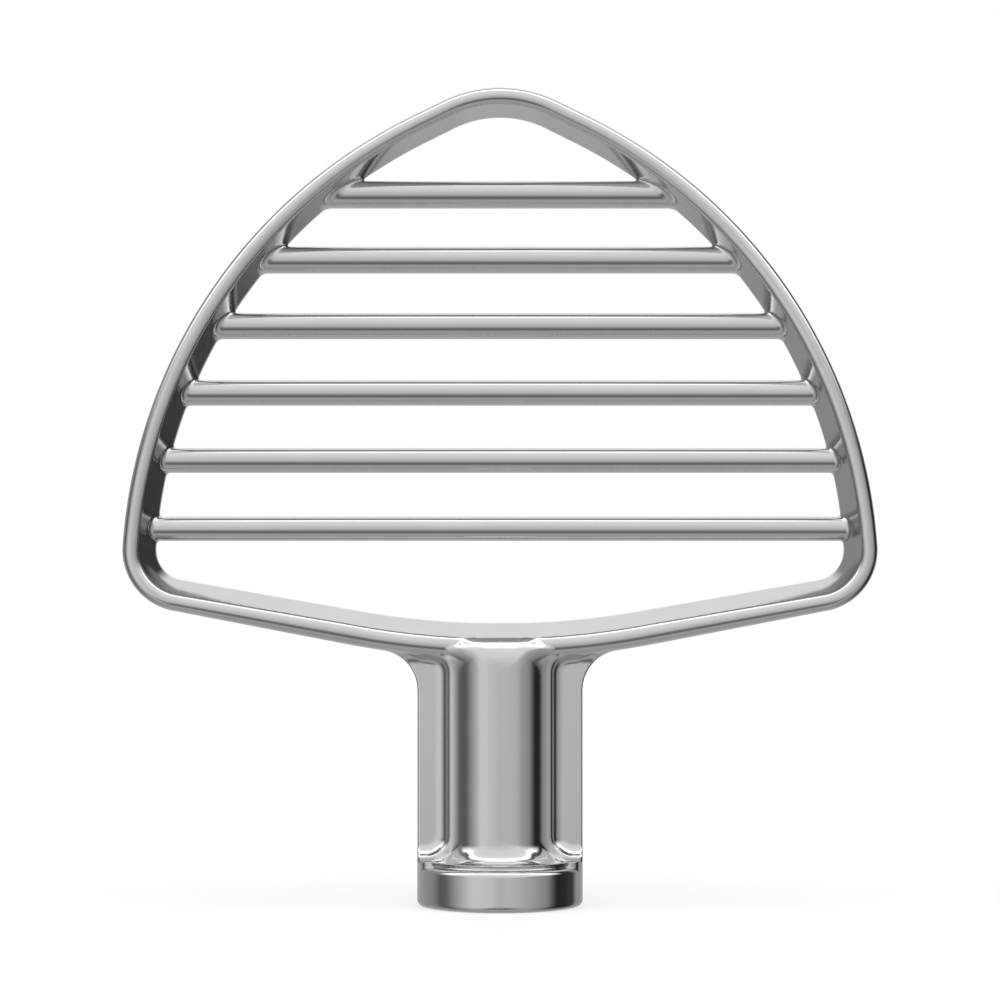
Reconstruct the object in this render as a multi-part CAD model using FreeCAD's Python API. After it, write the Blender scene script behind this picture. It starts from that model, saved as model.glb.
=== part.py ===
import FreeCAD, Part
import math
import os

from FreeCAD import Vector

# Flat beater of a stand mixer: one stainless steel casting.
# All sizes are millimetres. The beater stands on the collar of its hub: the origin is the
# centre of the collar's end face, +Z runs up the shaft bore to the tip of the frame, X is the
# beater's width and Y its depth. The casting is the same on both sides of XZ and of YZ, apart
# from the two pin pockets inside the collar, which turn one way round.

# Outer outline of the frame, from the tip down one side and back to the hub
TIP_HEIGHT = 145.0
TIP_RADIUS = 23.0
TIP_HALF_ANGLE = 26.0
FLANK_LENGTH = 6.0
SIDE_RADIUS = 91.7
SIDE_END_ANGLE = 86.0
CORNER_RADIUS = 11.0
BAR_SLOPE = 10.9
BAR_SAG_RADIUS = 145.0

# Section of the frame: a round nose at the front and at the back, and between them a
# rounded ridge at mid-depth on the inside
FRAME_DEPTH = 11.0
RIDGE_RADIUS = 3.0
TIP_THICKNESS = 4.6
SIDE_THICKNESS = 5.2
BAR_THICKNESS = 6.4
SIDE_NOSE_RADIUS = 1.6
BAR_NOSE_RADIUS = 2.0

# Cross rods, from the top one down: each is a little thinner and a little further on
ROD_COUNT = 6
TOP_ROD_DROP = 18.35
TOP_ROD_PITCH = 11.64
ROD_PITCH_STEP = 0.135
TOP_ROD_RADIUS = 2.43
ROD_RADIUS_STEP = 0.052
ROD_SINK = 0.6
ROD_FLARE = 0.6
ROD_FLARE_RUN = 2.4

# Hub: round boss with two flat wings, on a round collar
BOSS_RADIUS = 9.0
BOSS_RISE = 3.48
BOSS_TOP_ROUND = 2.9
WING_REACH = 14.65
WING_THICKNESS = 9.0
WING_ROOT_RADIUS = 7.2
COLLAR_RADIUS = 14.77
COLLAR_HEIGHT = 7.2
COLLAR_TOP_ROUND = 1.1
COLLAR_END_ROUND = 0.8
GROOVE_DEPTH = 0.4
FOOT_RADIUS = 13.65
FOOT_EDGE = 0.3
FOOT_FILLET = 3.9
WING_FOOT_DEPTH = 12.0

# Pocket in each face of each wing, open to the side
POCKET_FLOOR_THICKNESS = 6.8
POCKET_START = 8.4
POCKET_TOP_RISE = 1.53
POCKET_CORNER = 4.2
POCKET_FLOOR_FILLET = 3.7

# Blind shaft bore with two keyways for the cross pin, and the pockets that the pin turns into
SHAFT_DIAMETER = 12.7
SHAFT_CLEARANCE = 0.05
BORE_DEPTH = 40.0
BORE_CHAMFER = 0.5
PIN_DIAMETER = 4.2
PIN_HALF_LENGTH = 11.0
PIN_CLEARANCE = 0.3
KEYWAY_DEPTH = 12.0
PIN_LEDGE = 2.2
PIN_TURN = 75.0


FOOT_TOP = COLLAR_HEIGHT + 2 * GROOVE_DEPTH + FOOT_EDGE
ACROSS_WIDTH = Vector(1, 0, 0)
ACROSS_DEPTH = Vector(0, 1, 0)
UP = Vector(0, 0, 1)


def closed_wire(start, *steps):
    """Closed wire from a start point. A step is a point, reached by a line, or a pair of points,
    the middle and the end of an arc."""
    edges = []
    here = start
    for step in steps + (start,):
        if isinstance(step, tuple):
            edges.append(Part.Arc(here, *step).toShape())
            here = step[-1]
        elif here.distanceToPoint(step) > 1e-6:
            edges.append(Part.LineSegment(here, step).toShape())
            here = step
    return Part.Wire(edges)


def polar(centre, radius, angle):
    """Point in the XZ plane at an angle in degrees from +X towards +Z about a centre."""
    a = math.radians(angle)
    return centre + Vector(radius * math.cos(a), 0, radius * math.sin(a))


def arc_about(centre, radius, start, end):
    """Arc step for closed_wire, in the XZ plane about a centre."""
    return polar(centre, radius, (start + end) / 2), polar(centre, radius, end)


def mirrored(shape, normal):
    return shape.mirror(Vector(0, 0, 0), normal)


class Outline:
    """A chain of tangent lines and clockwise arcs in the XZ plane.

    A station is a point of the chain and the heading there, in degrees below +X. A line has no
    centre.
    """

    def __init__(self, start):
        self.stations = [(start, 0.0)]
        self.centres = []

    def line(self, length):
        start, heading = self.stations[-1]
        self.stations.append((polar(start, length, -heading), heading))
        self.centres.append(None)

    def arc(self, radius, end_heading):
        start, heading = self.stations[-1]
        centre = polar(start, radius, -heading - 90)
        self.stations.append((polar(centre, radius, 90 - end_heading), end_heading))
        self.centres.append(centre)


def frame_outline():
    """Outer outline of the right half of the frame, from the tip to the middle of the hub."""
    outline = Outline(Vector(0, 0, TIP_HEIGHT))
    outline.arc(TIP_RADIUS, TIP_HALF_ANGLE)
    outline.line(FLANK_LENGTH)
    outline.arc(SIDE_RADIUS, SIDE_END_ANGLE)
    outline.arc(CORNER_RADIUS, 180.0 - BAR_SLOPE)
    slope = math.radians(BAR_SLOPE)
    sag_start = BAR_SAG_RADIUS * math.sin(slope)
    outline.line((outline.stations[-1][0].x - sag_start) / math.cos(slope))
    outline.arc(BAR_SAG_RADIUS, 180.0)
    return outline


OUTLINE = frame_outline()
SIDE_CENTRE = OUTLINE.centres[2]
SAG_CENTRE = OUTLINE.centres[-1]
BAR_HEIGHT = OUTLINE.stations[-1][0].z
BOSS_TOP = BAR_HEIGHT + BOSS_RISE
POCKET_TOP = BAR_HEIGHT + POCKET_TOP_RISE


def frame_section(station, thickness, nose_radius):
    """Closed section of the frame, square to the outline at a station.

    It is drawn hanging down from the outline. The flank between a nose and the ridge is the
    common tangent of their two circles.
    """
    nose_v = FRAME_DEPTH / 2 - nose_radius
    ridge_u = thickness - RIDGE_RADIUS
    lean = math.atan2(ridge_u - nose_radius, nose_v)
    reach = math.hypot(ridge_u - nose_radius, nose_v)
    normal = math.acos((RIDGE_RADIUS - nose_radius) / reach) - lean

    def on_nose(side, angle):
        return Vector(0, side * (nose_v + nose_radius * math.cos(angle)), -nose_radius * (1 + math.sin(angle)))

    def ridge_end(side):
        return Vector(0, side * RIDGE_RADIUS * math.cos(normal), -ridge_u - RIDGE_RADIUS * math.sin(normal))

    nose_middle = (normal - math.pi / 2) / 2
    wire = closed_wire(
        Vector(0, -nose_v, 0),
        Vector(0, nose_v, 0),
        (on_nose(1, nose_middle), on_nose(1, normal)),
        ridge_end(1),
        (Vector(0, 0, -thickness), ridge_end(-1)),
        on_nose(-1, normal),
        (on_nose(-1, nose_middle), Vector(0, -nose_v, 0)),
    )
    point, heading = station
    wire.Placement = FreeCAD.Placement(point, FreeCAD.Rotation(ACROSS_DEPTH, heading))
    return wire


def frame():
    """The frame: its section turned about the centre of each arc of the outline, and lofted along
    the straight stretches, where it grows thicker towards the hub."""
    tip = (TIP_THICKNESS, SIDE_NOSE_RADIUS)
    side = (SIDE_THICKNESS, SIDE_NOSE_RADIUS)
    bar = (BAR_THICKNESS, BAR_NOSE_RADIUS)
    sizes = [tip, tip, side, side, side, bar, bar]
    sections = [frame_section(station, *size) for station, size in zip(OUTLINE.stations, sizes)]
    solids = []
    for index, centre in enumerate(OUTLINE.centres):
        start, end = sections[index:index + 2]
        if centre is None:
            solids.append(Part.makeLoft([start, end], True, True))
        else:
            turn = OUTLINE.stations[index + 1][1] - OUTLINE.stations[index][1]
            solids.append(Part.Face(start).revolve(centre, ACROSS_DEPTH, turn))
    half = solids[0].fuse(solids[1:])
    return half.fuse(mirrored(half, ACROSS_WIDTH)).removeSplitter()


def rod_places():
    """Height and radius of each cross rod."""
    height = TIP_HEIGHT - TOP_ROD_DROP
    result = []
    for index in range(ROD_COUNT):
        result.append((height, TOP_ROD_RADIUS - index * ROD_RADIUS_STEP))
        height -= TOP_ROD_PITCH + index * ROD_PITCH_STEP
    return result


def rods():
    """The cross rods, flared towards the frame and trimmed to end just inside its outer edge."""
    inset = SIDE_RADIUS - ROD_SINK
    right = Part.makeCylinder(inset, FRAME_DEPTH, SIDE_CENTRE - ACROSS_DEPTH * (FRAME_DEPTH / 2), ACROSS_DEPTH)
    core = right.common(mirrored(right, ACROSS_WIDTH))
    wall_radius = SIDE_RADIUS - SIDE_THICKNESS
    pieces = []
    for height, radius in rod_places():
        reach = SIDE_CENTRE.x + SIDE_RADIUS
        wall = SIDE_CENTRE.x + math.sqrt(wall_radius ** 2 - (height - SIDE_CENTRE.z) ** 2)
        start = wall - ROD_FLARE_RUN
        end_radius = radius + ROD_FLARE * (reach - start) / ROD_FLARE_RUN
        flare = Part.makeCone(radius, end_radius, reach - start, Vector(start, 0, height), ACROSS_WIDTH)
        rod = Part.makeCylinder(radius, 2 * reach, Vector(-reach, 0, height), ACROSS_WIDTH)
        pieces.append(rod.fuse([flare, mirrored(flare, ACROSS_WIDTH)]).common(core))
    return pieces


def turned(start, *steps):
    """Solid of revolution about the bore's axis, from a profile in the XZ plane."""
    return Part.Face(closed_wire(start, *steps)).revolve(Vector(0, 0, 0), UP, 360)


def hub_turning():
    """Collar, foot and boss: the round forms of the hub, as one profile about the bore's axis."""
    end_centre = Vector(COLLAR_RADIUS - COLLAR_END_ROUND, 0, COLLAR_END_ROUND)
    rim_centre = Vector(COLLAR_RADIUS - COLLAR_TOP_ROUND, 0, COLLAR_HEIGHT - COLLAR_TOP_ROUND)
    fillet_centre = Vector(BOSS_RADIUS + FOOT_FILLET, 0, FOOT_TOP + FOOT_FILLET)
    top_centre = Vector(BOSS_RADIUS - BOSS_TOP_ROUND, 0, BOSS_TOP - BOSS_TOP_ROUND)
    return turned(
        Vector(0, 0, 0),
        Vector(end_centre.x, 0, 0),
        arc_about(end_centre, COLLAR_END_ROUND, -90, 0),
        polar(rim_centre, COLLAR_TOP_ROUND, 0),
        arc_about(rim_centre, COLLAR_TOP_ROUND, 0, 90),
        Vector(FOOT_RADIUS, 0, COLLAR_HEIGHT),
        Vector(FOOT_RADIUS - GROOVE_DEPTH, 0, COLLAR_HEIGHT + GROOVE_DEPTH),
        Vector(FOOT_RADIUS, 0, FOOT_TOP - FOOT_EDGE),
        Vector(FOOT_RADIUS - FOOT_EDGE, 0, FOOT_TOP),
        polar(fillet_centre, FOOT_FILLET, -90),
        arc_about(fillet_centre, FOOT_FILLET, -90, -180),
        polar(top_centre, BOSS_TOP_ROUND, 0),
        arc_about(top_centre, BOSS_TOP_ROUND, 0, 90),
        Vector(0, 0, BOSS_TOP),
    )


def wing_plate():
    """Both wings: one flat plate across the hub, its upper corners swept out under the bar."""
    root_x = WING_REACH + WING_ROOT_RADIUS
    down = math.degrees(math.asin(root_x / (BAR_SAG_RADIUS + WING_ROOT_RADIUS)))
    root = polar(SAG_CENTRE, BAR_SAG_RADIUS + WING_ROOT_RADIUS, down - 90)
    inside = polar(SAG_CENTRE, BAR_SAG_RADIUS - BAR_NOSE_RADIUS, down - 90)
    bottom = Vector(WING_REACH, 0, COLLAR_HEIGHT / 2)
    half = Part.Face(closed_wire(
        Vector(0, 0, bottom.z),
        bottom,
        polar(root, WING_ROOT_RADIUS, 180),
        arc_about(root, WING_ROOT_RADIUS, 180, down + 90),
        inside,
        Vector(0, 0, inside.z),
    )).extrude(ACROSS_DEPTH * WING_THICKNESS)
    half.translate(ACROSS_DEPTH * (-WING_THICKNESS / 2))
    return half.fuse(mirrored(half, ACROSS_WIDTH)).removeSplitter()


def wing_foot():
    """Full round of the collar, carried up to the pockets under the wings."""
    bottom = COLLAR_HEIGHT / 2
    round_end = Part.makeCylinder(COLLAR_RADIUS, FOOT_TOP - bottom, Vector(0, 0, bottom))
    corner = Vector(-COLLAR_RADIUS, -WING_FOOT_DEPTH / 2, 0)
    return round_end.common(Part.makeBox(2 * COLLAR_RADIUS, WING_FOOT_DEPTH, FOOT_TOP, corner))


def pocket():
    """Cutter for the pocket in the front face of the right wing: rounded inner corners, a
    filleted floor, and an open side."""
    outer = WING_REACH + 2 * WING_ROOT_RADIUS
    low = Vector(POCKET_START + POCKET_CORNER, 0, FOOT_TOP + POCKET_CORNER)
    high = Vector(low.x, 0, POCKET_TOP - POCKET_CORNER)
    cutter = Part.Face(closed_wire(
        Vector(outer, 0, FOOT_TOP),
        polar(low, POCKET_CORNER, -90),
        arc_about(low, POCKET_CORNER, -90, -180),
        polar(high, POCKET_CORNER, 180),
        arc_about(high, POCKET_CORNER, 180, 90),
        Vector(outer, 0, POCKET_TOP),
    )).extrude(ACROSS_DEPTH * -COLLAR_RADIUS)
    floor_y = -POCKET_FLOOR_THICKNESS / 2
    cutter.translate(ACROSS_DEPTH * floor_y)
    rim = [edge for edge in cutter.Edges
           if edge.BoundBox.YMin > floor_y - 1e-6 and edge.BoundBox.XMin < outer - 1e-6]
    return cutter.makeFillet(POCKET_FLOOR_FILLET, rim)


def bore():
    """Shaft bore, keyways and the two pockets that the cross pin turns into."""
    radius = SHAFT_DIAMETER / 2 + SHAFT_CLEARANCE
    slot = PIN_DIAMETER + PIN_CLEARANCE
    reach = PIN_HALF_LENGTH + PIN_CLEARANCE
    shaft_hole = turned(
        Vector(0, 0, -BORE_CHAMFER),
        Vector(radius + 2 * BORE_CHAMFER, 0, -BORE_CHAMFER),
        Vector(radius, 0, BORE_CHAMFER),
        Vector(radius, 0, BORE_DEPTH),
        Vector(0, 0, BORE_DEPTH),
    )
    keyway = Part.makeBox(2 * reach, slot, KEYWAY_DEPTH + slot, Vector(-reach, -slot / 2, -slot))
    round_end = Part.makeCylinder(reach, 2 * KEYWAY_DEPTH, Vector(0, 0, -slot))
    turn = Part.makeCylinder(reach, slot, Vector(0, 0, PIN_LEDGE), UP, PIN_TURN)
    opposite = turn.copy()
    opposite.rotate(Vector(0, 0, 0), UP, 180)
    return shaft_hole.fuse([keyway.common(round_end), turn, opposite])


def beater():
    """The whole casting."""
    body = frame().fuse(rods() + [hub_turning(), wing_plate(), wing_foot()])
    right = pocket()
    right = [right, mirrored(right, ACROSS_DEPTH)]
    left = [mirrored(cutter, ACROSS_WIDTH) for cutter in right]
    return body.cut(right + left + [bore()])


if __name__ == "__main__":
    os.makedirs("parts", exist_ok=True)
    beater().exportStep("parts/beater.step")
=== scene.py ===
import math

import bpy
import numpy as np
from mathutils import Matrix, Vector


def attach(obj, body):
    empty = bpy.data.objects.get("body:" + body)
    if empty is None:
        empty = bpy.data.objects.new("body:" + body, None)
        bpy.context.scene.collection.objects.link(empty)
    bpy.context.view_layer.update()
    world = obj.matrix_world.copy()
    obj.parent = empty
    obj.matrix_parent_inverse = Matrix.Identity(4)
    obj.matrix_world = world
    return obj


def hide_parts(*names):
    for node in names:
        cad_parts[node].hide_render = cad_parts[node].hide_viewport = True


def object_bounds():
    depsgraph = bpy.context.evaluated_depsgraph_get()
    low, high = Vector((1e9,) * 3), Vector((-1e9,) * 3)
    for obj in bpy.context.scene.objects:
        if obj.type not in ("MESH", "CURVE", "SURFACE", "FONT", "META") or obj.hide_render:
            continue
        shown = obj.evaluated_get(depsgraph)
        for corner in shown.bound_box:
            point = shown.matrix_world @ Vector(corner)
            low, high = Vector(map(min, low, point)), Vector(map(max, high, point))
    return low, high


# Flat beater of a stand mixer: one polished stainless steel casting on a white table.
# The casting is worked out in millimetres, from the sizes that its CAD model has, as one field of
# distances with soft fillets where two of its forms meet. It is then meshed, in metres.
# X is the beater's width, Y its depth, and Z the height over the table that its collar stands on.

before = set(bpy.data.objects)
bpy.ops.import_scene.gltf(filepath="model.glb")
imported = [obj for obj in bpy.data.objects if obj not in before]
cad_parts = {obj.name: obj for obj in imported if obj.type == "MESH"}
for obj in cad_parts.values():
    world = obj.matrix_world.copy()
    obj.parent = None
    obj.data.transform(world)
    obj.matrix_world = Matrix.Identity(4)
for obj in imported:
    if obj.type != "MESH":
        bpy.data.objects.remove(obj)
cad_low, cad_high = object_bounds()

MM = 0.001

# Outer edge of the frame, from the tip down one side and back to the middle of the hub. An arc
# has its radius and the heading that it ends on, in degrees below +X. A line has its length, and
# the bar's line runs as far as the arc of its sag.
TIP_HEIGHT = 145.0
BAR_SLOPE = 10.9
BAR_SAG_RADIUS = 145.0
OUTLINE = (
    ("arc", 23.0, 26.0),
    ("line", 6.0, None),
    ("arc", 91.7, 86.0),
    ("arc", 11.0, 180.0 - BAR_SLOPE),
    ("bar", None, None),
    ("arc", BAR_SAG_RADIUS, 180.0),
)

# Section of the frame: its thickness inwards and the radius of its front and back noses, where
# each stretch of the outline starts and where the last one ends
THICKNESS = (4.6, 4.6, 4.65, 5.5, 5.6, 6.15, 6.3)
NOSE_RADIUS = (1.6, 1.6, 1.6, 1.6, 1.6, 2.0, 2.0)
FRAME_DEPTH = 11.0
RIDGE_RADIUS = 1.3

# Cross rods, from the top one down, each a little thinner and a little further on. They start
# inside the frame and deepen towards it over a short run, told by the distance from its edge.
ROD_COUNT = 6
TOP_ROD_HEIGHT = 126.65
TOP_ROD_PITCH = 11.64
ROD_PITCH_STEP = 0.135
TOP_ROD_RADIUS = 2.43
ROD_RADIUS_STEP = 0.052
ROD_SINK = 1.5
ROD_BLEND = 0.6
ROD_SWELL_DEPTH = 3.1
ROD_SWELL_RUN = (2.4, 5.2)

# Boss, with the round that its front and back roll over into at the top. At the shoulders, which
# lie between two distances from the middle, that round draws back and up into the bar.
BOSS_RADIUS = 8.9
BOSS_SETBACK = 0.2
BOSS_HEIGHT = 47.8
BOSS_TOP_ROUND = 7.0
BOSS_TOP_RISE = 5.95
BOSS_TOP_EDGE = 0.8
BOSS_SHOULDER = 0.8
BOSS_SHOULDER_RISE = 0.3
BOSS_SHOULDER_SPAN = (2.8, 6.2)
BOSS_SHOULDER_HEIGHTS = (40.0, 46.0)

# Wings, which widen into the bar in a round and end inside it
WING_REACH = 14.65
WING_THICKNESS = 9.0
WING_ROOT_RADIUS = 7.2
WING_TOP = 49.0
WING_END_IN_BAR = 2.0
WING_FOOT_SINK = 0.25
WING_EDGE = 1.0

# Collar, and its foot with a groove between the two. Beside the pockets a block carries the
# collar's full round up to the top of the foot.
COLLAR_RADIUS = 14.75
COLLAR_HEIGHT = 7.2
COLLAR_TOP_ROUND = 1.1
COLLAR_END_ROUND = 1.1
GROOVE_RADIUS = 0.4
GROOVE_EDGE = 0.15
FOOT_RADIUS = 13.65
FOOT_TOP = 8.15
FOOT_EDGE_ROUND = 0.3
FOOT_FILLET = 3.9
WING_FOOT_START = 2.0
WING_FOOT_DEPTH = 12.0
WING_FOOT_EDGE = 1.2

# Pocket in each face of each wing, open to the side. Its floor turns up in a wider round at the
# lower end.
POCKET_FLOOR_THICKNESS = 5.6
POCKET_START = 8.9
POCKET_HALF_LENGTH = 40.0
POCKET_TOP = 45.5
POCKET_CORNER = 4.2
POCKET_LOWER_CORNER = 4.2
POCKET_FLOOR_FILLET = 2.6
POCKET_SPOON = 1.4
POCKET_SPOON_HEIGHTS = (8.5, 13.0)
POCKET_LIP = 0.35

# Shaft bore, keyways and the pockets that the cross pin turns into
BORE_RADIUS = 6.4
BORE_DEPTH = 40.0
BORE_CHAMFER = 0.5
BORE_EDGE = 0.2
PIN_SLOT = 4.5
PIN_REACH = 11.3
KEYWAY_DEPTH = 12.0
PIN_LEDGE = 2.2
PIN_TURN = 75.0

# Fillets of the hub. Each has a least radius, which it keeps where the two faces nearly lie in
# one, and grows to its full one over a stretch: of depth inside the wing's edge, of distance
# from the axis, or of height.
WING_BLEND = 1.6
WING_BLEND_DEPTHS = (0.3, 3.0)
WING_FOOT_BLEND = 1.6
WING_FOOT_BLEND_RADII = (11.0, 13.4)
WING_LEAST_BLEND = 0.05
BOSS_BLEND = 1.5
BOSS_BLEND_FOOT = (9.0, 12.0)
BOSS_BLEND_TOP = (45.6, 47.2)
BOSS_LEAST_BLEND = 0.01
HUB_BLEND = 1.0
HUB_BLEND_FOOT = (41.0, 44.5)


# Field of distances

def round_union(a, b, radius):
    """Union of two forms with a fillet: the distance to both, once nearer than the radius, is
    replaced by the distance to a circle that touches the two."""
    near = np.hypot(np.maximum(radius - a, 0), np.maximum(radius - b, 0))
    return np.maximum(radius, np.minimum(a, b)) - near


def round_cut(a, b, radius):
    """Form a less form b, with the edge between them rounded: a union turned inside out."""
    return -round_union(-a, b, radius)


def ramp(value, start, end):
    """0 before the start, 1 past the end, and smooth between them: 3 s2 - 2 s3 of the share s."""
    share = np.clip((value - start) / (end - start), 0, 1)
    return share * share * (3 - 2 * share)


def rounded_box(a, b, half_a, half_b, radius):
    """Distance to a rectangle with rounded corners, in its own plane: the distance to the
    rectangle that holds the corners' centres, less their radius."""
    qa = np.abs(a) - half_a + radius
    qb = np.abs(b) - half_b + radius
    outside = np.hypot(np.maximum(qa, 0), np.maximum(qb, 0))
    return outside + np.minimum(np.maximum(qa, qb), 0) - radius


def outline_spans():
    """The frame's outer edge as tangent pieces from the tip to the hub's middle. Each has its start
    point, its heading in degrees below +X at both ends, and a radius, or a length for a line."""
    spans = []
    x, z, heading = 0.0, TIP_HEIGHT, 0.0
    for kind, size, end in OUTLINE:
        if kind == "arc":
            spans.append(("arc", x, z, heading, end, size))
            start, stop = math.radians(90 - heading), math.radians(90 - end)
            x += size * (math.cos(stop) - math.cos(start))
            z += size * (math.sin(stop) - math.sin(start))
            heading = end
            continue
        slope = math.radians(heading)
        if kind == "bar":
            sag_start = BAR_SAG_RADIUS * math.sin(math.radians(BAR_SLOPE))
            size = (x - sag_start) / math.cos(math.radians(BAR_SLOPE))
        spans.append(("line", x, z, heading, heading, size))
        x += size * math.cos(slope)
        z -= size * math.sin(slope)
    return spans, z


SPANS, SAG_HEIGHT = outline_spans()


def along_outline(x, z):
    """Nearest place of the outline to each point: the distance inwards from the edge, negative
    outside it, and the frame's thickness and nose radius there.

    On an arc the place is the point's own bearing from the arc's centre, held between the arc's
    ends, and on a line it is the foot of the perpendicular, held in the same way. The thickness
    and the radius change evenly along each piece.
    """
    best = np.full_like(x, np.inf)
    inwards = np.zeros_like(x)
    thickness = np.zeros_like(x)
    nose = np.zeros_like(x)
    for index, (kind, x0, z0, h0, h1, size) in enumerate(SPANS):
        a0 = math.radians(h0)
        if kind == "arc":
            cx = x0 - size * math.sin(a0)
            cz = z0 - size * math.cos(a0)
            bearing = np.degrees(np.arctan2(x - cx, z - cz))
            middle = (h0 + h1) / 2
            swing = (bearing - middle + 180) % 360 - 180
            heading = np.radians(middle + np.clip(swing, (h0 - h1) / 2, (h1 - h0) / 2))
            share = (np.degrees(heading) - h0) / (h1 - h0)
            sine, cosine = np.sin(heading), np.cos(heading)
            px = cx + size * sine
            pz = cz + size * cosine
        else:
            sine, cosine = math.sin(a0), math.cos(a0)
            run = np.clip((x - x0) * cosine - (z - z0) * sine, 0, size)
            share = run / size
            px = x0 + run * cosine
            pz = z0 - run * sine
        distance = np.hypot(x - px, z - pz)
        nearer = distance < best
        best = np.where(nearer, distance, best)
        inwards = np.where(nearer, -(x - px) * sine - (z - pz) * cosine, inwards)
        wall = THICKNESS[index] + (THICKNESS[index + 1] - THICKNESS[index]) * share
        thickness = np.where(nearer, wall, thickness)
        round_here = NOSE_RADIUS[index] + (NOSE_RADIUS[index + 1] - NOSE_RADIUS[index]) * share
        nose = np.where(nearer, round_here, nose)
    return inwards, thickness, nose


def frame_field(u, v, thickness, nose):
    """Distance to the frame's section, where u is the distance inwards from the outline and v the
    depth from the middle. The section is the hull of a nose circle at the front and a ridge
    circle at mid-depth, cut off flat at the outline.

    A point is taken along and aside of the line between the two centres. Its place along their
    common tangent then tells which is nearest: a circle at either end, or the tangent between.
    """
    nose_v = FRAME_DEPTH / 2 - nose
    ridge_u = thickness - RIDGE_RADIUS
    du, dv = nose - ridge_u, nose_v
    length = np.hypot(du, dv)
    along = ((u - ridge_u) * du + v * dv) / length
    aside = np.abs((u - ridge_u) * dv - v * du) / length
    lean = (RIDGE_RADIUS - nose) / length
    flat = np.sqrt(1 - lean ** 2)
    side = flat * along - lean * aside
    ridge = np.hypot(along, aside) - RIDGE_RADIUS
    front = np.hypot(along - length, aside) - nose
    facet = lean * along + flat * aside - RIDGE_RADIUS
    hull = np.where(side < 0, ridge, np.where(side > flat * length, front, facet))
    return np.maximum(hull, -u)


def rod_places():
    """Height and radius of each cross rod: the pitch and the radius change by even steps."""
    height = TOP_ROD_HEIGHT
    places = []
    for index in range(ROD_COUNT):
        places.append((height, TOP_ROD_RADIUS - index * ROD_RADIUS_STEP))
        height -= TOP_ROD_PITCH + index * ROD_PITCH_STEP
    return places


RODS = rod_places()


def rods_field(u, v, z):
    """Distance to the nearest cross rod: a circle about its height, which near the frame is drawn
    out in depth to the swell's half depth."""
    swell = 1 - ramp(u, *ROD_SWELL_RUN)
    rods = np.full_like(z, np.inf)
    for height, radius in RODS:
        depth = radius + (ROD_SWELL_DEPTH - radius) * swell
        squeezed = v * radius / depth
        rods = np.minimum(rods, np.hypot(z - height, squeezed) - radius)
    return np.maximum(rods, ROD_SINK - u)


def base_field(rho, z):
    """Distance to the collar and its foot, two rounded discs, less the groove, a ring of round
    section. rho is the distance from the axis."""
    end_round = np.where(z > COLLAR_HEIGHT / 2, COLLAR_TOP_ROUND, COLLAR_END_ROUND)
    collar_z = z - COLLAR_HEIGHT / 2
    collar = rounded_box(rho, collar_z, COLLAR_RADIUS, COLLAR_HEIGHT / 2, end_round)
    middle = (COLLAR_HEIGHT / 2 + FOOT_TOP) / 2
    foot = rounded_box(rho, z - middle, FOOT_RADIUS, FOOT_TOP - middle, FOOT_EDGE_ROUND)
    groove = np.hypot(rho - FOOT_RADIUS, z - COLLAR_HEIGHT - GROOVE_RADIUS) - GROOVE_RADIUS
    return round_cut(np.minimum(collar, foot), groove, GROOVE_EDGE)


def boss_field(x, y, z):
    """Distance to the boss: its front and back are each a round about a line set back past the
    middle, and each rolls over at the top in a round that runs straight across. x and y are
    distances from the middle planes."""
    post = np.hypot(x, y + BOSS_SETBACK) - BOSS_RADIUS - BOSS_SETBACK
    post = np.maximum(post, FOOT_FILLET - z)
    shoulder = ramp(x, *BOSS_SHOULDER_SPAN)
    back = BOSS_SHOULDER * shoulder * ramp(z, *BOSS_SHOULDER_HEIGHTS)
    roll_y = np.maximum(y - BOSS_RADIUS + BOSS_TOP_ROUND + back, 0)
    roll_z = np.maximum(z - BOSS_HEIGHT + BOSS_TOP_RISE - BOSS_SHOULDER_RISE * shoulder, 0)
    roll = np.hypot(roll_y, roll_z) - BOSS_TOP_ROUND
    return np.maximum(round_cut(post, -roll, BOSS_TOP_EDGE), z - BOSS_HEIGHT)


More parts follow.
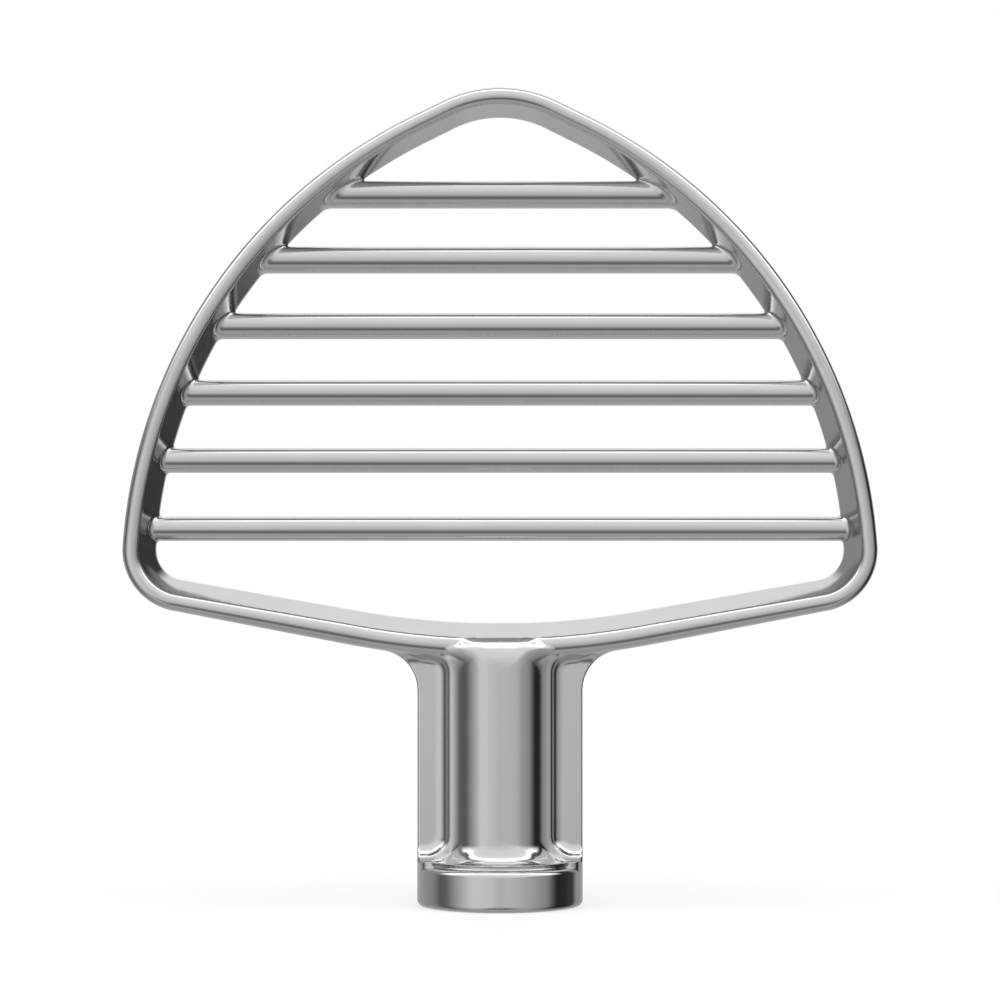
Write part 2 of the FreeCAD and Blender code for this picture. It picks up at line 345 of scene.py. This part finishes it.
def wing_field(x, y, z, u):
    """Distance to the pocketed wings, and how far inside their edge a point is, as a share. x and
    y are distances from the middle planes, u the distance inwards from the frame's outer edge.

    The plan is straight up to the height of the root's centre, and above it the outside of the
    round that touches the wing's side and the arc of the bar. The pocket is a rounded opening
    down to a flat floor, with a fillet between its walls and the floor.
    """
    root_x = WING_REACH + WING_ROOT_RADIUS
    sag_z = SAG_HEIGHT + BAR_SAG_RADIUS
    root_z = sag_z - math.sqrt((BAR_SAG_RADIUS + WING_ROOT_RADIUS) ** 2 - root_x ** 2)
    bar_x = root_x * BAR_SAG_RADIUS / (BAR_SAG_RADIUS + WING_ROOT_RADIUS)
    straight = x - WING_REACH
    swept = WING_ROOT_RADIUS - np.hypot(x - root_x, z - root_z)
    side = np.where(z < root_z, straight, np.maximum(swept, x - bar_x))
    plan = np.maximum(side, u - WING_END_IN_BAR)
    plan = np.maximum(np.maximum(plan, z - WING_TOP), FOOT_TOP - WING_FOOT_SINK - z)
    wing = round_cut(plan, WING_THICKNESS / 2 - y, WING_EDGE)
    depth_in = ramp(-plan, *WING_BLEND_DEPTHS)

    middle_z = (FOOT_TOP + POCKET_TOP) / 2
    half_z = (POCKET_TOP - FOOT_TOP) / 2
    corner = np.where(z > middle_z, POCKET_CORNER, POCKET_LOWER_CORNER)
    middle_x = POCKET_START + POCKET_HALF_LENGTH
    opening = rounded_box(x - middle_x, z - middle_z, POCKET_HALF_LENGTH, half_z, corner)
    floor = POCKET_FLOOR_THICKNESS / 2 - y
    fillet = POCKET_FLOOR_FILLET + POCKET_SPOON * (1 - ramp(z, *POCKET_SPOON_HEIGHTS))
    pocket = -round_union(-opening, -floor, fillet)
    return round_cut(wing, pocket, POCKET_LIP), depth_in


def wing_foot_field(rho, y, z):
    """Distance to the block that carries the collar's round up: a disc between two heights, cut
    off flat at its front and back."""
    block = round_cut(rho - COLLAR_RADIUS, WING_FOOT_DEPTH / 2 - y, WING_FOOT_EDGE)
    middle = (WING_FOOT_START + FOOT_TOP) / 2
    return np.maximum(block, np.abs(z - middle) - FOOT_TOP + middle)


def bore_field(x, y, z):
    """Distance to the shaft bore with its chamfer, the keyways for the cross pin, and the two
    pockets that the pin turns into: a disc sector each, from one keyway round by the pin's turn.
    These are the only forms that aren't mirrored."""
    rho = np.hypot(x, y)
    shaft = np.maximum(rho - BORE_RADIUS, z - BORE_DEPTH)
    shaft = np.minimum(shaft, (rho - BORE_RADIUS - BORE_CHAMFER + z) * math.sqrt(0.5))
    reach = rho - PIN_REACH
    keyway = np.maximum(np.maximum(np.abs(y) - PIN_SLOT / 2, reach), z - KEYWAY_DEPTH)
    turn = math.radians(PIN_TURN)
    side = np.sign(y) + (y == 0)
    sector = np.maximum(-y * side, (y * math.cos(turn) - x * math.sin(turn)) * side)
    height = np.abs(z - PIN_LEDGE - PIN_SLOT / 2) - PIN_SLOT / 2
    pin = np.maximum(np.maximum(sector, reach), height)
    return np.minimum(np.minimum(shaft, keyway), pin)


def casting_field(x, y, z):
    """Distance from each point to the surface of the casting, negative inside: the frame, with
    the rods, wings, base and boss joined to it in this order, each by its own fillet, less the
    bore."""
    ax, ay = np.abs(x), np.abs(y)
    rho = np.hypot(x, y)
    u, thickness, nose = along_outline(ax, z)
    body = round_union(frame_field(u, ay, thickness, nose), rods_field(u, ay, z), ROD_BLEND)

    wing, depth_in = wing_field(ax, ay, z, u)
    body = round_union(body, wing, WING_LEAST_BLEND + WING_BLEND * depth_in)

    base = base_field(rho, z)
    over_foot = 1 - ramp(rho, *WING_FOOT_BLEND_RADII)
    body = round_union(body, base, WING_LEAST_BLEND + WING_FOOT_BLEND * over_foot)

    boss = round_union(boss_field(ax, ay, z), base, FOOT_FILLET)
    under_top = 1 - ramp(z, *BOSS_BLEND_TOP)
    blend = BOSS_LEAST_BLEND + BOSS_BLEND * ramp(z, *BOSS_BLEND_FOOT) * under_top
    blend = blend + HUB_BLEND * (ramp(z, *HUB_BLEND_FOOT) * under_top)
    body = round_union(body, boss, blend)

    body = np.minimum(body, wing_foot_field(rho, ay, z))
    return round_cut(body, bore_field(x, y, z), BORE_EDGE)


# Meshing

SLAB = 400000
SLOPE_STEP = 0.01
LEAST_SLOPE = 0.3
COARSE_STEP = 4
COARSE_REACH = 2.0

# Grid lines as (place, spacing from there on), past the casting on every side. The spacing is
# finer over the height of the groove and the foot.
GRID_X = ((-68.4, 0.34), (68.4, 0.34))
GRID_Y = ((-15.5, 0.4), (-9.4, 0.34), (9.4, 0.4), (15.5, 0.4))
GRID_Z = ((-0.9, 0.34), (6.0, 0.16), (9.4, 0.34), (146.2, 0.34))


def in_slabs(x, y, z):
    """The casting's field for long lists of points, a slab at a time to spare memory."""
    starts = range(0, len(x), SLAB)
    return np.concatenate([casting_field(*(part[i:i + SLAB] for part in (x, y, z))) for i in starts])


def slope_of(points):
    """Field and its gradient at each point, from central differences."""
    value = in_slabs(*points.T)
    gradient = np.empty_like(points)
    for axis in range(3):
        shift = np.zeros(3)
        shift[axis] = SLOPE_STEP
        ahead = in_slabs(*(points + shift).T)
        behind = in_slabs(*(points - shift).T)
        gradient[:, axis] = (ahead - behind) / (2 * SLOPE_STEP)
    return value, gradient


def settle(points, limit):
    """Moves points on to the surface along the field's gradient, by its value over its slope, and
    at most by the limit."""
    value, gradient = slope_of(points)
    length = np.maximum(np.linalg.norm(gradient, axis=1), LEAST_SLOPE)
    move = np.clip(value / length, -limit, limit)
    return points - gradient / length[:, None] * move[:, None]


def graded(stops):
    """Grid lines through (place, spacing) stops: even steps, about as long as the spacing says."""
    lines = [stops[0][0]]
    for (start, spacing), (end, _) in zip(stops, stops[1:]):
        count = max(1, round((end - start) / spacing))
        lines += list(start + (end - start) * np.arange(1, count + 1) / count)
    return np.array(lines)


def field_on(lines):
    """Field at the nodes of a grid: worked out at every fourth node first, and then only where
    that value is small, so that the rest of the nodes keep their nearest coarse node's value."""
    coarse = np.meshgrid(*(line[::COARSE_STEP] for line in lines), indexing="ij")
    rough = in_slabs(*(part.ravel() for part in coarse)).reshape(coarse[0].shape)
    nearest = [
        np.minimum((np.arange(len(line)) + COARSE_STEP // 2) // COARSE_STEP, size - 1)
        for line, size in zip(lines, rough.shape)
    ]
    value = rough[np.ix_(*nearest)]
    near = np.nonzero(np.abs(value) < COARSE_REACH)
    value[near] = in_slabs(*(line[index] for line, index in zip(lines, near)))
    return value


def surface_net(lines):
    """Vertices and quads of the surface on a grid. A cell that the surface crosses has one vertex,
    the mean of the places where it crosses the cell's edges, and every grid line that it crosses
    gives one quad, through the four cells around that line."""
    value = field_on(lines)
    shape = value.shape
    inside = value < 0
    total = np.zeros(tuple(n - 1 for n in shape), np.uint8)
    for corner in np.ndindex(2, 2, 2):
        total += inside[tuple(slice(c, n - 1 + c) for c, n in zip(corner, shape))]
    cells = np.argwhere((total > 0) & (total < 8))
    number = np.full(total.shape, -1, np.int64)
    number[tuple(cells.T)] = np.arange(len(cells))

    place = np.zeros((len(cells), 3))
    count = np.zeros(len(cells))
    for axis in range(3):
        others = [a for a in range(3) if a != axis]
        for p, q in np.ndindex(2, 2):
            start = cells.copy()
            start[:, others[0]] += p
            start[:, others[1]] += q
            end = start.copy()
            end[:, axis] += 1
            a = value[tuple(start.T)]
            b = value[tuple(end.T)]
            crossed = (a < 0) != (b < 0)
            share = np.where(crossed, a / np.where(crossed, a - b, 1), 0)
            point = np.stack([lines[k][start[:, k]] for k in range(3)], 1)
            point[:, axis] += share * (lines[axis][end[:, axis]] - lines[axis][start[:, axis]])
            place += point * crossed[:, None]
            count += crossed

    quads = []
    for axis in range(3):
        first, second = [(1, 2), (2, 0), (0, 1)][axis]
        crossing = inside != np.roll(inside, -1, axis)
        last = tuple(slice(-1, None) if k == axis else slice(None) for k in range(3))
        crossing[last] = False
        nodes = np.argwhere(crossing)
        outwards = inside[tuple(nodes.T)]
        ring = []
        for p, q in ((0, 0), (1, 0), (1, 1), (0, 1)):
            cell = nodes.copy()
            cell[:, first] += p - 1
            cell[:, second] += q - 1
            ring.append(number[tuple(cell.T)])
        ring = np.stack(ring, 1)
        quads.append(np.where(outwards[:, None], ring, ring[:, ::-1]))
    return place / count[:, None], np.concatenate(quads)


def sides_of(quads):
    """The four sides of every quad, as pairs of vertices in the quad's own turn."""
    return np.concatenate([quads[:, [k, (k + 1) % 4]] for k in range(4)])


def relaxed(points, quads, rounds, limit):
    """Evens the mesh out: each vertex moves half way to the mean of its neighbours, and then back
    on to the surface."""
    sides = sides_of(quads)
    count = np.bincount(sides.ravel(), minlength=len(points))
    for _ in range(rounds):
        total = np.zeros_like(points)
        for axis in range(3):
            total[:, axis] = np.bincount(sides[:, 0], points[sides[:, 1], axis], len(points))
            total[:, axis] += np.bincount(sides[:, 1], points[sides[:, 0], axis], len(points))
        points = settle((points + total / count[:, None]) / 2, limit)
    return points


def capped(quads, points):
    """The open edges of a piece, each loop of them closed by a fan to its middle. Returns the new
    middles and the triangles."""
    sides = sides_of(quads)
    key = sides.min(1) * (len(points) + 1) + sides.max(1)
    _, index, times = np.unique(key, return_index=True, return_counts=True)
    following = dict(sides[index[times == 1]].tolist())
    middles, fans = [], []
    while following:
        start, here = following.popitem()
        loop = [start]
        while here != start:
            loop.append(here)
            here = following.pop(here)
        centre = len(points) + len(middles)
        middles.append(points[loop].mean(0))
        fans += [(after, before, centre) for before, after in zip(loop, loop[1:] + loop[:1])]
    return middles, fans


def steel_piece(name, points, normals, quads):
    """Mesh object of one stretch of the casting, closed at its cuts inside the metal. It is
    shaded by the field's own gradient, so that its reflections run on from piece to piece."""
    used, flat = np.unique(quads, return_inverse=True)
    local = flat.reshape(-1, 4)
    own = points[used]
    middles, fans = capped(local, own)
    own = np.concatenate([own, np.array(middles).reshape(-1, 3)]) * MM
    own = np.clip(own, cad_low, cad_high)
    mesh = bpy.data.meshes.new(name)
    mesh.from_pydata(own.tolist(), [], local.tolist() + fans)
    mesh.update()
    mesh.polygons.foreach_set("use_smooth", np.ones(len(mesh.polygons), bool))
    shading = np.zeros_like(own)
    shading[:len(used)] = normals[used]
    mesh.normals_split_custom_set_from_vertices(shading.tolist())
    piece = bpy.data.objects.new(name, mesh)
    bpy.context.scene.collection.objects.link(piece)
    return piece


# Materials

# Sizes of the patterns in the finishes, in millimetres: clouds of tone and smears of the buffing
# wheel, the waver of the casting and the wheel's pull in the steel, and the table's grain
TONE_CLOUD = 9.0
BUFFING_SMEAR = 2.2
CAST_WAVER = 7.0
BUFFING_PULL = 0.9
TABLE_GRAIN = 1.5

# Heights of the same patterns as bumps, in millimetres
CAST_WAVER_HEIGHT = 0.012
BUFFING_PULL_HEIGHT = 0.0012
TABLE_GRAIN_HEIGHT = 0.02


def colour(text):
    """sRGB hex to linear RGBA."""
    values = [int(text[i:i + 2], 16) / 255 for i in (1, 3, 5)]
    linear = [v / 12.92 if v <= 0.04045 else ((v + 0.055) / 1.055) ** 2.4 for v in values]
    return (*linear, 1.0)


def add(tree, kind, settings=None, **inputs):
    """Adds a node with its settings, and with its inputs, each a value or a socket to link. An
    input goes by its name, or by its number after an underscore."""
    node = tree.nodes.new(kind)
    for key, value in (settings or {}).items():
        setattr(node, key, value)
    for key, value in inputs.items():
        socket = node.inputs[int(key[1:]) if key[0] == "_" else key.replace("_", " ")]
        if isinstance(value, bpy.types.NodeSocket):
            tree.links.new(value, socket)
        else:
            socket.default_value = value
    return node


def cast_stainless_polished():
    """Cast 18/8 stainless steel, tumbled and then mirror-buffed: the reflections waver a little
    where the casting under them isn't quite true, and the buffing leaves them unevenly soft."""
    material = bpy.data.materials.new("cast_stainless_polished")
    material.use_nodes = True
    tree = material.node_tree
    shader = tree.nodes["Principled BSDF"]
    shader.inputs["Metallic"].default_value = 1.0
    place = add(tree, "ShaderNodeTexCoord").outputs["Object"]
    cloud = add(tree, "ShaderNodeTexNoise", Vector=place, Scale=1 / (TONE_CLOUD * MM), Detail=2.0)
    tone = add(tree, "ShaderNodeMix", {"data_type": "RGBA"},
               _0=cloud.outputs[0], _6=colour("#cbcbcc"), _7=colour("#d3d3d2"))
    smear = add(tree, "ShaderNodeTexNoise",
                Vector=place, Scale=1 / (BUFFING_SMEAR * MM), Detail=3.0)
    rough = add(tree, "ShaderNodeMapRange",
                _0=smear.outputs[0], _1=0.3, _2=0.7, _3=0.075, _4=0.125)
    waver = add(tree, "ShaderNodeTexNoise", Vector=place, Scale=1 / (CAST_WAVER * MM), Detail=1.0)
    pull = add(tree, "ShaderNodeTexNoise",
               Vector=place, Scale=1 / (BUFFING_PULL * MM), Detail=2.0)
    low = add(tree, "ShaderNodeBump",
              Strength=1.0, Distance=CAST_WAVER_HEIGHT * MM, Height=waver.outputs[0])
    fine = add(tree, "ShaderNodeBump", Strength=1.0, Distance=BUFFING_PULL_HEIGHT * MM,
               Height=pull.outputs[0], Normal=low.outputs[0])
    tree.links.new(tone.outputs[2], shader.inputs["Base Color"])
    tree.links.new(rough.outputs[0], shader.inputs["Roughness"])
    tree.links.new(fine.outputs[0], shader.inputs["Normal"])
    return material


def table_white():
    """Matt white laminate with a fine grain. The camera sees it lit through, so that it meets the
    white backdrop and keeps only a faint shadow. The steel sees the studio's own table in its
    place."""
    material = bpy.data.materials.new("table_white")
    material.use_nodes = True
    tree = material.node_tree
    tree.nodes.clear()
    place = add(tree, "ShaderNodeTexCoord").outputs["Object"]
    grain = add(tree, "ShaderNodeTexNoise", Vector=place, Scale=1 / (TABLE_GRAIN * MM), Detail=2.0)
    bump = add(tree, "ShaderNodeBump",
               Strength=0.2, Distance=TABLE_GRAIN_HEIGHT * MM, Height=grain.outputs[0])
    matt = add(tree, "ShaderNodeBsdfDiffuse", Color=colour("#f2f2f2"), Normal=bump.outputs[0])
    lit = add(tree, "ShaderNodeEmission", Strength=1.09)
    top = add(tree, "ShaderNodeMixShader", _0=0.62, _1=matt.outputs[0], _2=lit.outputs[0])
    ray = add(tree, "ShaderNodeLightPath").outputs["Is Glossy Ray"]
    clear = add(tree, "ShaderNodeBsdfTransparent")
    seen = add(tree, "ShaderNodeMixShader", _0=ray, _1=top.outputs[0], _2=clear.outputs[0])
    add(tree, "ShaderNodeOutputMaterial", Surface=seen.outputs[0])
    return material


# The casting

# Heights at which it is cut into pieces: above the third rod and above the bar
UPPER_CUT = 98.0
LOWER_CUT = 50.5

points, quads = surface_net([graded(stops) for stops in (GRID_X, GRID_Y, GRID_Z)])
for _ in range(2):
    points = settle(points, 0.3)
points = relaxed(points, quads, 2, 0.3)
points = settle(points, 0.2)
normals = slope_of(points)[1]
normals /= np.maximum(np.linalg.norm(normals, axis=1), 1e-9)[:, None]

steel = cast_stainless_polished()
middle = points[quads].mean(1)
between = (middle[:, 2] < UPPER_CUT) & (middle[:, 2] >= LOWER_CUT)
parts = (
    ("tip_and_upper_rods", middle[:, 2] >= UPPER_CUT),
    ("lower_rods_left", between & (middle[:, 0] < 0)),
    ("lower_rods_right", between & (middle[:, 0] >= 0)),
    ("bar_and_hub", middle[:, 2] < LOWER_CUT),
)
pieces = [steel_piece(name, points, normals, quads[which]) for name, which in parts]
for piece in pieces:
    piece.data.materials.append(steel)
    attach(piece, "root")
    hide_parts("beater")


# Studio

# Brightness of the studio seen towards each side, as stops of (angle in degrees away from the
# camera's side, brightness): a soft box and a black gap on the left, a black flag on the right,
# a strip light overhead with a gap and the lit backdrop behind it, and the table with its dark
# edge below.
STUDIO = {
    "left": (
        (0, 0.73), (22, 0.84), (42, 0.84), (60, 0.52), (80, 0.17), (91, 0.13), (103, 0.3),
        (114, 0.36), (150, 0.46), (180, 0.46),
    ),
    "right": (
        (0, 0.73), (28, 0.63), (50, 0.48), (70, 0.33), (79, 0.12), (86, 0.02), (102, 0.03),
        (110, 0.05), (120, 0.06), (130, 0.36), (180, 0.46),
    ),
    "overhead": (
        (0, 0.7), (14, 0.8), (32, 0.97), (60, 1.05), (71, 1.2), (77, 2.0), (94, 2.0), (100, 0.5),
        (104, 0.18), (109, 0.24), (113, 1.05), (150, 1.1), (180, 0.5),
    ),
    "table": (
        (0, 0.72), (12, 0.58), (24, 0.28), (34, 0.15), (41, 0.2), (48, 0.38), (62, 0.52),
        (78, 0.42), (100, 0.46), (125, 0.55), (150, 0.6), (180, 0.46),
    ),
}
BRIGHTEST = 2.0

# Borders between the sides, in degrees. Left and right meet softly above the middle, the strip
# light's half width shrinks between two angles, and the table fades in over a span of turn.
SIDE_SOFTNESS = 14
STRIP_ANGLES = (99, 106)
STRIP_HALF_WIDTHS = (63, 36)
TABLE_TURNS = (118, 162)


def studio_world():
    """World of the studio. The angle from the camera's side is the arc cosine of the direction's
    part along -Y, and the turn is the arc tangent of its part to the right over its part upwards.
    The four sides share each direction by its turn, with soft borders, and the camera itself sees
    plain white."""
    world = bpy.data.worlds.new("studio")
    world.use_nodes = True
    tree = world.node_tree
    tree.nodes.clear()
    look = add(tree, "ShaderNodeTexCoord").outputs["Generated"]
    ahead = add(tree, "ShaderNodeVectorMath", {"operation": "DOT_PRODUCT"}, _0=look, _1=(0, -1, 0))
    angle = add(tree, "ShaderNodeMath", {"operation": "ARCCOSINE"}, _0=ahead.outputs["Value"])
    angle = angle.outputs[0]
    part = add(tree, "ShaderNodeMath", {"operation": "DIVIDE"}, _0=angle, _1=math.pi)
    levels = {}
    for side, stops in STUDIO.items():
        node = add(tree, "ShaderNodeValToRGB", {"label": side}, _0=part.outputs[0])
        marks = node.color_ramp.elements
        while len(marks) < len(stops):
            marks.new(0.5)
        for mark, (degrees, level) in zip(marks, stops):
            mark.position = degrees / 180
            mark.color = (level / BRIGHTEST,) * 3 + (1,)
        levels[side] = node.outputs[0]

    split = add(tree, "ShaderNodeSeparateXYZ", _0=look).outputs
    turn = add(tree, "ShaderNodeMath", {"operation": "ARCTAN2"}, _0=split["X"], _1=split["Z"])
    turn = turn.outputs[0]
    around = add(tree, "ShaderNodeMath", {"operation": "ABSOLUTE"}, _0=turn).outputs[0]
    angles = [math.radians(a) for a in STRIP_ANGLES]
    widths = [math.radians(a) for a in STRIP_HALF_WIDTHS]
    border = add(tree, "ShaderNodeMapRange",
                 _0=angle, _1=angles[0], _2=angles[1], _3=widths[0], _4=widths[1])
    beyond = add(tree, "ShaderNodeMath", {"operation": "SUBTRACT"},
                 _0=around, _1=border.outputs[0])
    soft = math.radians(SIDE_SOFTNESS)
    smooth = {"interpolation_type": "SMOOTHSTEP"}
    shares = {
        "right": add(tree, "ShaderNodeMapRange", _0=turn, _1=-soft, _2=soft, _3=0.0, _4=1.0),
        "overhead": add(tree, "ShaderNodeMapRange", smooth,
                        _0=beyond.outputs[0], _1=-soft, _2=soft, _3=1.0, _4=0.0),
        "table": add(tree, "ShaderNodeMapRange", smooth, _0=around,
                     _1=math.radians(TABLE_TURNS[0]), _2=math.radians(TABLE_TURNS[1]),
                     _3=0.0, _4=1.0),
    }
    level = levels["left"]
    for side, share in shares.items():
        mixed = add(tree, "ShaderNodeMix", {"data_type": "RGBA"},
                    _0=share.outputs[0], _6=level, _7=levels[side])
        level = mixed.outputs[2]
    ray = add(tree, "ShaderNodeLightPath").outputs["Is Camera Ray"]
    seen = add(tree, "ShaderNodeMix", {"data_type": "RGBA"},
               _0=ray, _6=level, _7=(1 / BRIGHTEST,) * 3 + (1,))
    back = add(tree, "ShaderNodeBackground", Color=seen.outputs[2], Strength=BRIGHTEST)
    add(tree, "ShaderNodeOutputWorld", Surface=back.outputs[0])
    return world


bpy.context.scene.world = studio_world()

# The table is a sheet of three metres to each side
reach = 3.0
corners = [(-reach, -reach, 0), (reach, -reach, 0), (reach, reach, 0), (-reach, reach, 0)]
sheet = bpy.data.meshes.new("floor")
sheet.from_pydata(corners, [], [(0, 1, 2, 3)])
sheet.materials.append(table_white())
floor = bpy.data.objects.new("floor", sheet)
bpy.context.scene.collection.objects.link(floor)

# Camera: level, 482 mm in front of the beater's middle and 51 mm over the table, in metres and
# with its lens and sensor in millimetres
camera_data = bpy.data.cameras.new("camera")
camera_data.sensor_width = 36.0
camera_data.lens = 97.3
camera_data.shift_y = 0.119
camera_data.clip_start = 0.01
camera_data.clip_end = 20.0
camera = bpy.data.objects.new("camera", camera_data)
camera.location = (0.0, -0.482, 0.051)
camera.rotation_euler = (math.radians(90), 0, 0)
bpy.context.scene.collection.objects.link(camera)
bpy.context.scene.camera = camera

bpy.context.scene.view_settings.view_transform = "Standard"
